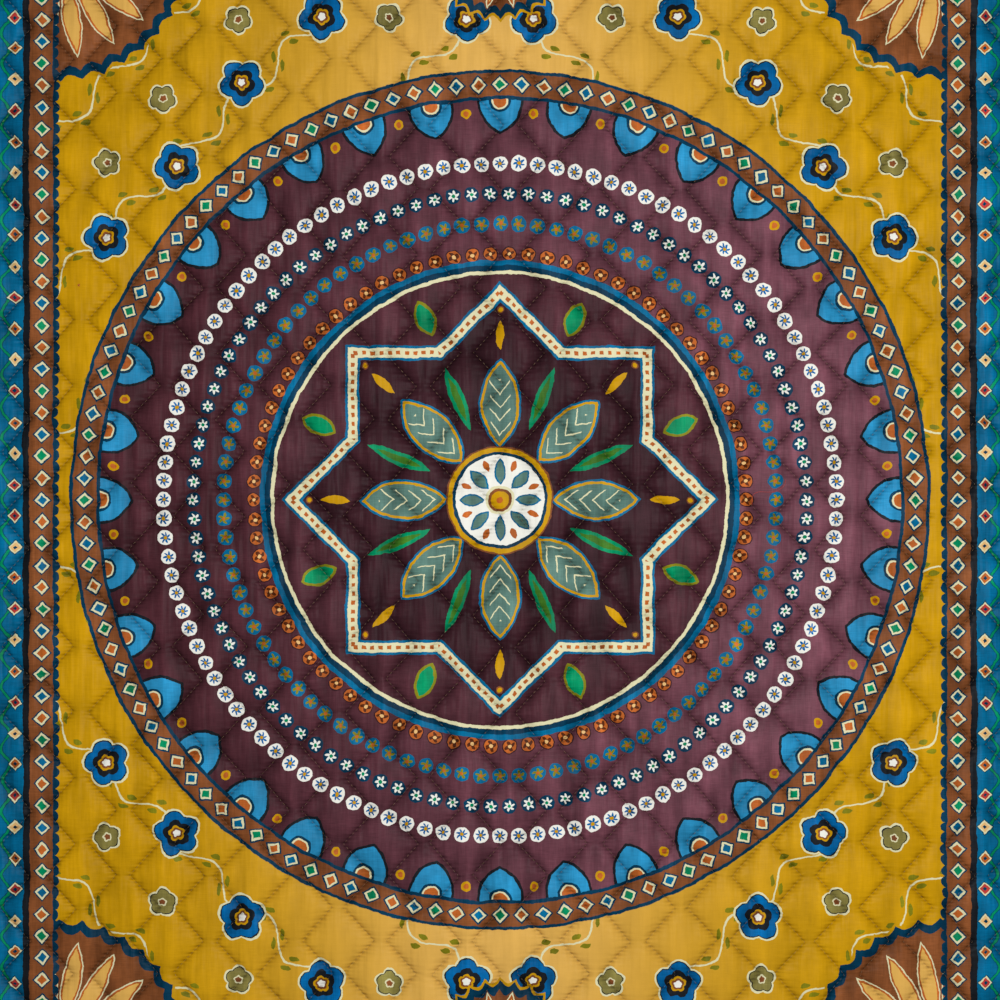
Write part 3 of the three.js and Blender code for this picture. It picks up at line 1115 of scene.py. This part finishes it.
half = SOWING / 2
first = [place - half for place in SOWN_FROM]
middle = half - PUSH / 2
corner = add(tree, "ShaderNodeVectorMath", {0: quarter, 1: (*first, 0)}, operation="SUBTRACT")
cell = add(tree, "ShaderNodeVectorMath", {0: corner, 1: (SOWING,) * 3}, operation="SNAP")
chance = add(tree, "ShaderNodeTexWhiteNoise", {"Vector": cell}, out="Color")
pushed = add(tree, "ShaderNodeVectorMath", {0: chance, 1: (PUSH, PUSH, 0), 2: cell},
             operation="MULTIPLY_ADD")
local = add(tree, "ShaderNodeVectorMath", {0: corner, 1: pushed}, operation="SUBTRACT")
local = add(tree, "ShaderNodeVectorMath", {0: local, 1: (middle, middle, 0)}, operation="SUBTRACT")
start = [place + middle for place in first]
to_centre, to_fan = (
    add(tree, "ShaderNodeVectorMath", {0: pushed, 1: (px - start[0], py - start[1], 0)}, out="Value",
        operation="DISTANCE") for px, py in ((0, 0), (FIELD_HALF_WIDTH, FIELD_HALF_LENGTH)))
x_pushed = add(tree, "ShaderNodeSeparateXYZ", {0: pushed})
fits = formula(tree, "above(centre, round_edge) * above(fan, fan_edge) * below(x, side)",
               centre=to_centre, round_edge=ROUND_EDGE + BLOSSOM, fan=to_fan,
               fan_edge=CORNER_FAN + BLOSSOM, x=x_pushed,
               side=FIELD_HALF_WIDTH - BLOSSOM - BLOSSOM_GAP - start[0])
print("a blossom strays up to", PUSH / 2, "mm from its place")

# %% [markdown]
# A blossom has five round lobes, each turned by chance, with a dark ring and a bright eye. Large blue
# ones and small olive ones take turns, as on a chessboard.

# %% Blossoms
LARGE_BLOSSOM = [(4.5, WHITE), (7, RUST), (9.5, MUSTARD), (16, CHARCOAL), (25, BLUE), (26.5, CHARCOAL),
                 (BLOSSOM, CREAM)]
SMALL_BLOSSOM = [(6, RUST), (9, CREAM), (24, GREY_OLIVE), (26, CHARCOAL), (BLOSSOM + 1, CREAM)]
LOBES = 5
LOBE_WAIST, LOBE_SWELL = 0.8, 0.22
SMALLER = 0.7

row = add(tree, "ShaderNodeVectorMath", {0: cell, 1: (1 / SOWING, 1 / SOWING, 0)}, out="Value",
          operation="DOT_PRODUCT")
small = formula(tree, "bounce(row, 1)", row=row)
u = add(tree, "ShaderNodeSeparateXYZ", {0: local})
reach = add(tree, "ShaderNodeVectorMath", {0: local}, out="Value", operation="LENGTH")
lobe = formula(tree, "atan2(v, u) * lobes + turned", u=u, v=u.node.outputs["Y"], lobes=LOBES / 2,
               turned=chance.node.outputs["Value"])
lobed = formula(tree, "reach / (abs(cos(lobe)) * swell + waist) * (small * smaller + 1)",
                reach=reach, lobe=lobe, swell=LOBE_SWELL, waist=LOBE_WAIST, small=small,
                smaller=SMALLER)
large = ink(tree, colour, lobed, LARGE_BLOSSOM)
little = ink(tree, colour, lobed, SMALL_BLOSSOM)
sown = add(tree, "ShaderNodeMix", {0: small, 6: large, 7: little}, out=2, data_type="RGBA")
colour = add(tree, "ShaderNodeMix", {0: fits, 6: colour, 7: sown}, out=2, data_type="RGBA")
print("with its blossoms the print has", len(tree.nodes), "nodes")

# %% [markdown]
# ## Fans
#
# Fans fill the corners of the field, and half fans the middles of its short ends. A fan is a rust disc
# with a scalloped navy edge and a spray of long petals, seen only as far as the border lets it.

# %% Fans
SCALLOP_REACH = 7
FAN_RUST, FAN_NAVY = 14, 4
PETAL_PLACE, PETAL_HALF_LENGTH, PETAL_HALF_WIDTH = 0.52, 0.3, 0.075
PETAL_INKS = [(3.5, PALE_MUSTARD), (1.5, ORANGE), (0, CREAM)]
FAN_EYE = [(0.1, MUSTARD), (0.15, NAVY), (0.18, CREAM)]


def fan(colour, centre, size, petals):
    """A fan whose petals stand evenly round its centre. Petals and eye are shares of its size."""
    reach = add(tree, "ShaderNodeVectorMath", {0: quarter, 1: (*centre, 0)}, out="Value",
                operation="DISTANCE")
    turn = formula(tree, "atan2(cy - y, cx - x)", cx=centre[0], cy=centre[1], x=aside, y=along)
    scallop = formula(tree, "abs(sin(turn * count)) * deep + reach", turn=turn, count=petals * 2,
                      deep=SCALLOP_REACH, reach=reach)
    colour = ink(tree, colour, scallop, [(size - FAN_RUST, RUST), (size - FAN_NAVY, NAVY),
                                         (size, MUSTARD)])
    wedge = formula(tree, "bounce(turn, half) * reach", turn=turn, half=math.pi / petals / 2,
                    reach=reach)
    place = add(tree, "ShaderNodeCombineXYZ", {0: wedge, 1: reach})
    colour = almond(tree, colour, place, size * PETAL_PLACE, size * PETAL_HALF_LENGTH,
                    size * PETAL_HALF_WIDTH, PETAL_INKS)
    return ink(tree, colour, reach, [(size * share, dye) for share, dye in FAN_EYE])


colour = fan(colour, (FIELD_HALF_WIDTH, FIELD_HALF_LENGTH), size=CORNER_FAN, petals=9)
colour = fan(colour, (0, FIELD_HALF_LENGTH), size=END_FAN, petals=7)
print("with its fans the print has", len(tree.nodes), "nodes")

# %% [markdown]
# ## The border
#
# The border is drawn by two distances: inward from the nearest edge, and along it from the corner. Each
# row lies a whole number of its own steps inward, and the steps divide both sides of the throw, so every
# corner gets a whole flower and a whole lozenge. From outside in there are a teal band, a dark line, and
# a rust band with a scalloped inner edge.

# %% The border's bands
SCALLOP = 12.7
SCALLOP_RADIUS = 6.6
SCALLOP_ROW = 115
BORDER_BANDS = [(3, DARK_TEAL), (79, TEAL), (87, CHARCOAL), (114, RUST), (116, NAVY)]

from_side = formula(tree, "half - x", half=HALF_WIDTH, x=aside)
from_end = formula(tree, "half - y", half=HALF_LENGTH, y=along)
inward = formula(tree, "min(a, b)", a=from_side, b=from_end)
edgewise = formula(tree, "max(a, b)", a=from_side, b=from_end)
scallop = add(tree, "ShaderNodeCombineXYZ", {
    0: formula(tree, "bounce(edgewise, half)", edgewise=edgewise, half=SCALLOP / 2), 1: inward})
colour = ink(tree, colour, scallop, [(SCALLOP_RADIUS, NAVY)], centre=(0, SCALLOP_ROW))
colour = ink(tree, colour, inward, BORDER_BANDS)
print("a border", BORDER_BANDS[-1][0], "mm wide")

# %% [markdown]
# On the teal band a green line winds along a row of round flowers with eight rays.

# %% Flowers on the teal band
FLOWER_PITCH = 254 / 7
STEM_ROW, STEM_REACH = 59, 5
STEM_INKS = [(1.6, EMERALD), (2.6, DARK_TEAL)]
RAYS = 8
RAY_TIP, RAY_FALL = 1.1, 0.9
FLOWER_INKS = [(3, MUSTARD), (6, RED), (12, CREAM), (15, DARK_TEAL)]

wave = formula(tree, "abs(cos(edgewise * turns) * swing + inward - row)", edgewise=edgewise,
               turns=math.tau / FLOWER_PITCH, swing=STEM_REACH, inward=inward, row=STEM_ROW)
colour = ink(tree, colour, wave, STEM_INKS)
u = formula(tree, "bounce(edgewise, half)", edgewise=edgewise, half=FLOWER_PITCH / 2)
v = formula(tree, "inward - pitch", inward=inward, pitch=FLOWER_PITCH)
reach = add(tree, "ShaderNodeVectorMath", {0: add(tree, "ShaderNodeCombineXYZ", {0: u, 1: v})},
            out="Value", operation="LENGTH")
rays = formula(tree, "reach / (bounce(atan2(v, u), half) * fall + tip)", reach=reach, u=u, v=v,
               half=math.pi / RAYS, fall=-RAY_FALL, tip=RAY_TIP)
colour = ink(tree, colour, rays, FLOWER_INKS)
print(f"a flower each {FLOWER_PITCH:.1f} mm")

# %% [markdown]
# A small lozenge stands halfway between two flowers, where the green line bends inward. Its dye changes
# in threes, and it has a navy heart.

# %% Small lozenges on the teal band
SMALL_ROW = 70
SMALL_INKS = [(8, CREAM), (9.5, DARK_TEAL)]
SMALL_FILL, SMALL_HEART = 6, 2.4

diamond = formula(tree, "(half - u) + abs(inward - row)", half=FLOWER_PITCH / 2, u=u, inward=inward,
                  row=SMALL_ROW)
colour = ink(tree, colour, diamond, SMALL_INKS)
kind = formula(tree, "(mod(round(edgewise / pitch + 0.5), 3) + 0.5) / 3", edgewise=edgewise,
               pitch=FLOWER_PITCH)
inside = formula(tree, "below(diamond, fill)", diamond=diamond, fill=SMALL_FILL)
colour = stamp(tree, colour, inside, [RED, ORANGE, TAN], kind)
inside = formula(tree, "below(diamond, heart)", diamond=diamond, heart=SMALL_HEART)
colour = stamp(tree, colour, inside, NAVY)
print("the teal band brings the print to", len(tree.nodes), "nodes")

# %% [markdown]
# The rust band has cream lozenges outlined in navy, like those round the centre.

# %% Lozenges on the rust band
LOZENGE_PITCH = 25.4
LOZENGE_ROW = 4 * LOZENGE_PITCH

tile = formula(tree, "bounce(edgewise, half) / size + abs(inward - row) / size", edgewise=edgewise,
               half=LOZENGE_PITCH / 2, size=LOZENGE_HALF, inward=inward, row=LOZENGE_ROW)
colour = ink(tree, colour, tile, [(CREAM_SHARE, CREAM), (1.0, NAVY)])
kind = formula(tree, "(mod(round(edgewise / pitch), 3) + 0.5) / 3", edgewise=edgewise,
               pitch=LOZENGE_PITCH)
inside = formula(tree, "below(tile, heart)", tile=tile, heart=HEART_SHARE)
colour = stamp(tree, colour, inside, [TEAL, EMERALD, ORANGE], kind)
print("the whole print has", len(tree.nodes), "nodes")

# %% [markdown]
# ## The weave
#
# Cotton this fine has a thread about every 0.3 mm. That is too fine to show, so the threads are drawn at
# 1.2 mm, each thick and thin over a length of 12 to 20 mm. The dye takes unevenly in patches a few
# centimetres wide, and slack cloth has soft wrinkles, 17 mm wide and eight times as long.

# %% Threads, patches and wrinkles
WARP_THREAD, WEFT_THREAD = (1.2, 20), (12, 1.2)
PATCH = (24, 34)
WRINKLE = (17, 130)


def stretched_noise(tree, place, size, detail, z=0.0):
    """Noise whose grain is size[0] mm across and size[1] mm along."""
    scaled = add(tree, "ShaderNodeMapping", {"Vector": place, "Location": (0, 0, z),
                                             "Scale": (1 / size[0], 1 / size[1], 1)})
    return add(tree, "ShaderNodeTexNoise", {"Vector": scaled, "Scale": 1, "Detail": detail}, out=0)


def weave(tree, place):
    """The cloth's own unevenness, by name, each value about 0.5 on average."""
    return {
        "warp": stretched_noise(tree, place, WARP_THREAD, 2),
        "weft": stretched_noise(tree, place, WEFT_THREAD, 1, z=3.1),
        "patch": stretched_noise(tree, place, PATCH, 3),
        "wrinkle": stretched_noise(tree, place, WRINKLE, 2, z=7.3),
    }


woven = weave(tree, flat_cloth)
print("the weave has", len(woven), "kinds of grain")

# %% [markdown]
# The three values that were kept on the points tell where a point lies among its sewing. The beat goes
# up and down once with each stitch. The painted shade below runs all along a seam, darkest at each
# stitch, so there a steady part is added to the beat.

# %% The place among the sewing
def sewn_places(tree):
    """The values of the sewing, by name: run and away in millimetres, hold and beat as shares."""
    kept_values = add(tree, "ShaderNodeAttribute", out="Vector", attribute_name="sewing")
    run = add(tree, "ShaderNodeSeparateXYZ", {0: kept_values})
    return {
        "run": run,
        "away": run.node.outputs["Y"],
        "hold": run.node.outputs["Z"],
        "beat": formula(tree, "cos(run * turns)", run=run, turns=math.tau / STITCH_PITCH),
    }


woven.update(sewn_places(tree))
print("the beat comes each", STITCH_PITCH, "mm")

# %% [markdown]
# ## The tone of the dye, and painted light and shade
#
# The tone makes the dye lighter or darker. It goes with the threads and the patches, and it is painted
# lighter and darker along the wrinkles, as light and shade would fall on them. It also paints shade into
# the troughs and round the stitch holes. A deep dye shows all this far more than a bright one, so all
# this is raised to a power. Last come the teeth: painted shade in the small folds that each stitch pulls
# to its side, which shows on every dye, as if the line were feathered.

# %% The tone, with painted shade from the sewing
# The threads and patches are the dye's own tone. The rest is painted: shade in the troughs, round the
# stitch holes and in the teeth, and light and shade along the wrinkles.
THREAD_TONE, PATCH_TONE, WRINKLE_LIGHT_AND_SHADE = 0.17, 0.4, 0.5
TROUGH_SHADE = 0.1
HOLE_SHADE, HOLE_REACH, HOLE_SHADE_STEADY = 0.04, 2.22, 1.6
TOOTH_SHADE, TOOTH_REACH, TOOTH_STEADY = 0.14, 3.12, 0.75


def tone_and_painted_shade(tree, power, cloth):
    """How light the dye is at each point: its threads and patches, with painted light and shade along
    the wrinkles and painted shade in the troughs, round the stitch holes and in the teeth.
    """
    even = formula(tree, "((warp + weft - 1) * thread + 1)", thread=THREAD_TONE, **cloth)
    # Patches of uneven dye, and painted light and shade along the wrinkles.
    broad = formula(tree, "(patch - 0.5) * uneven + ((wrinkle - 0.5) * slack + 1)", uneven=PATCH_TONE,
                    slack=WRINKLE_LIGHT_AND_SHADE, **cloth)
    # Painted shade in the troughs, deepest where the sewing holds the cloth closest.
    troughs = formula(tree, "hold * depth + 1", depth=-TROUGH_SHADE, **cloth)
    # Painted shade round each stitch hole.
    holes = formula(tree, "(beat + steady) * exp(away * fade) * depth", steady=HOLE_SHADE_STEADY,
                    depth=-HOLE_SHADE, fade=-1 / HOLE_REACH, **cloth)
    # Painted shade in the small folds beside each stitch.
    teeth = formula(tree, "(beat + steady) * exp(away * fade) * depth + 1", steady=TOOTH_STEADY,
                    depth=-TOOTH_SHADE, fade=-1 / TOOTH_REACH, **cloth)
    return formula(tree, "power(even * broad * (troughs + holes), exponent) * min(teeth, 1)", even=even,
                   broad=broad, troughs=troughs, holes=holes, exponent=power, teeth=teeth)


POWER_OF_BLACK, POWER_FALL, LEAST_POWER = 2.9, 51, 0.5
bright = add(tree, "ShaderNodeRGBToBW", {0: colour})
power = formula(tree, "max(bright * bright * bright * fall + most, least)", bright=bright,
                fall=-POWER_FALL, most=POWER_OF_BLACK, least=LEAST_POWER)
# The print is scaled by its tone and by the painted light and shade.
tone = tone_and_painted_shade(tree, power, woven)
dyed = add(tree, "ShaderNodeVectorMath", {0: colour, "Scale": tone}, operation="SCALE")
print("with its tone the cotton has", len(tree.nodes), "nodes")

# %% [markdown]
# ## Relief and shine
#
# The relief that is too fine for the mesh is a bump, with heights in millimetres: the threads, the soft
# wrinkles, the puckers that run off a seam, and the pinch of each stitch. The cotton is rough to the
# light, but its pressed face is a little smoother than a raw weave. Its printed dyes are deep, so almost
# no white light is mirrored over them.

# %% The printed face
THREAD_RELIEF, WRINKLE_RELIEF, PUCKER_RELIEF, PINCH_RELIEF = 0.12, 5, 0.4, 0.3
PUCKER_PITCH, PUCKER_REACH, PUCKER_BEND = 11, 6, 9
COTTON_ROUGHNESS = 0.44
COTTON_SHINE = 0.05

pucker = formula(tree, "sin(run * turns + wrinkle * bend) * exp(away * fade)", bend=PUCKER_BEND,
                 turns=math.tau / PUCKER_PITCH, fade=-1 / PUCKER_REACH, **woven)
pinch = formula(tree, "beat * exp(away * fade)", fade=-1 / HOLE_REACH, **woven)
height = formula(tree, "warp * a + (wrinkle * b + (pucker * c - pinch * d))", a=THREAD_RELIEF,
                 b=WRINKLE_RELIEF, c=PUCKER_RELIEF, d=PINCH_RELIEF, pucker=pucker, pinch=pinch, **woven)
relief = add(tree, "ShaderNodeBump", {"Strength": 1.0, "Distance": MM, "Height": height})
cotton = add(tree, "ShaderNodeBsdfPrincipled", {
    "Base Color": dyed, "Roughness": COTTON_ROUGHNESS, "Specular IOR Level": COTTON_SHINE,
    "Normal": relief})
add(tree, "ShaderNodeOutputMaterial", {"Surface": cotton})
print("the printed cotton has", len(tree.nodes), "nodes")

# %% [markdown]
# ## Plain back
#
# The underside is the same cotton, dyed in one piece in a teal like the border's and left unpressed. So
# it is duller, with a faint nap that lightens it where it is seen from the side. It reads its place on
# the throw itself, because its part of the map is too narrow for a weave.

# %% The plain back
BACK_TEAL = "#0A4E68"
BACK_ROUGHNESS = 0.75
BACK_NAP = 0.15
BACK_WRINKLE_RELIEF = 2

plain_cotton = bpy.data.materials.new("plain_dyed_cotton")
tree = empty_tree(plain_cotton)
place = add(tree, "ShaderNodeTexCoord", out="Object")
place = add(tree, "ShaderNodeVectorMath", {0: place, "Scale": 1 / MM}, operation="SCALE")
woven = {**weave(tree, place), **sewn_places(tree)}
# The back takes the same painted shade in its troughs and by its stitches, and along its wrinkles.
tone = tone_and_painted_shade(tree, POWER_OF_BLACK, woven)
dyed = add(tree, "ShaderNodeVectorMath", {0: linear(BACK_TEAL)[:3], "Scale": tone}, operation="SCALE")
height = formula(tree, "warp * a + wrinkle * b", a=THREAD_RELIEF, b=BACK_WRINKLE_RELIEF, **woven)
relief = add(tree, "ShaderNodeBump", {"Strength": 1.0, "Distance": MM, "Height": height})
cotton = add(tree, "ShaderNodeBsdfPrincipled", {
    "Base Color": dyed, "Roughness": BACK_ROUGHNESS, "Sheen Weight": BACK_NAP, "Normal": relief})
add(tree, "ShaderNodeOutputMaterial", {"Surface": cotton})
print("the plain cotton has", len(tree.nodes), "nodes")

# %% [markdown]
# ## Threads
#
# The quilting thread is drawn nylon, a single clear strand with a smooth skin. It takes on the colour
# under it, so it goes with every dye, and catches a small gleam. Over plum it shows as a thin pale line,
# and over mustard hardly at all. The loose bits are spun cotton, which is matt. They vary a little in
# tone every few millimetres, as a spun yarn does. The white cotton is on no face, for the reason given
# under Loose fibres.

# %% Clear nylon, and loose cotton
NYLON = "#A88862"
NYLON_COVER = 0.28
NYLON_ROUGHNESS, NYLON_IOR = 0.3, 1.53
YARN_ROUGHNESS = 0.85
YARN_GRAIN = 4
YARN_TONE = 0.5


def strand(made, dye, **look):
    """A thread or fibre whose colour varies a little along it, with the shader's other values."""
    tree = empty_tree(made)
    place = add(tree, "ShaderNodeTexCoord", out="Object")
    grain = stretched_noise(tree, place, (YARN_GRAIN * MM, YARN_GRAIN * MM), 1)
    value = formula(tree, "(grain - 0.5) * tone + 1", grain=grain, tone=YARN_TONE)
    dyed = add(tree, "ShaderNodeVectorMath", {0: linear(dye)[:3], "Scale": value}, operation="SCALE")
    shader = add(tree, "ShaderNodeBsdfPrincipled", {"Base Color": dyed, **look})
    add(tree, "ShaderNodeOutputMaterial", {"Surface": shader})
    return made


strand(sewing_thread, NYLON, Roughness=NYLON_ROUGHNESS, IOR=NYLON_IOR, Alpha=NYLON_COVER)
for name, dye in (("red_cotton_fibre", RED), ("white_cotton_thread", WHITE)):
    tubes.materials.append(strand(bpy.data.materials.new(name), dye, Roughness=YARN_ROUGHNESS))
print("threads:", [made.name for made in (sewing_thread, *tubes.materials)])

# %% [markdown]
# Each face of the cloth takes its own finish: the underside the plain cotton, and all the rest, with the
# hem and its edge, the printed one.

# %% Finish the cloth
mesh.materials.append(printed_cotton)
mesh.materials.append(plain_cotton)
under_faces = np.zeros(len(mesh.polygons), int)
under_faces[face_corners // 4:][:back_corners // 4] = 1
mesh.polygons.foreach_set("material_index", under_faces)
print("finishes:", [made.name for made in mesh.materials])

# %% [markdown]
# ## One body
#
# Each piece rides on the one body of the throw. The cloth stands for the plain solid, which is hidden.

pieces = (throw, face_stitches, back_stitches, loose_fibres)
for piece in pieces:
    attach(piece, "root")
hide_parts("blanket")
print("pieces:", [piece.name for piece in pieces])
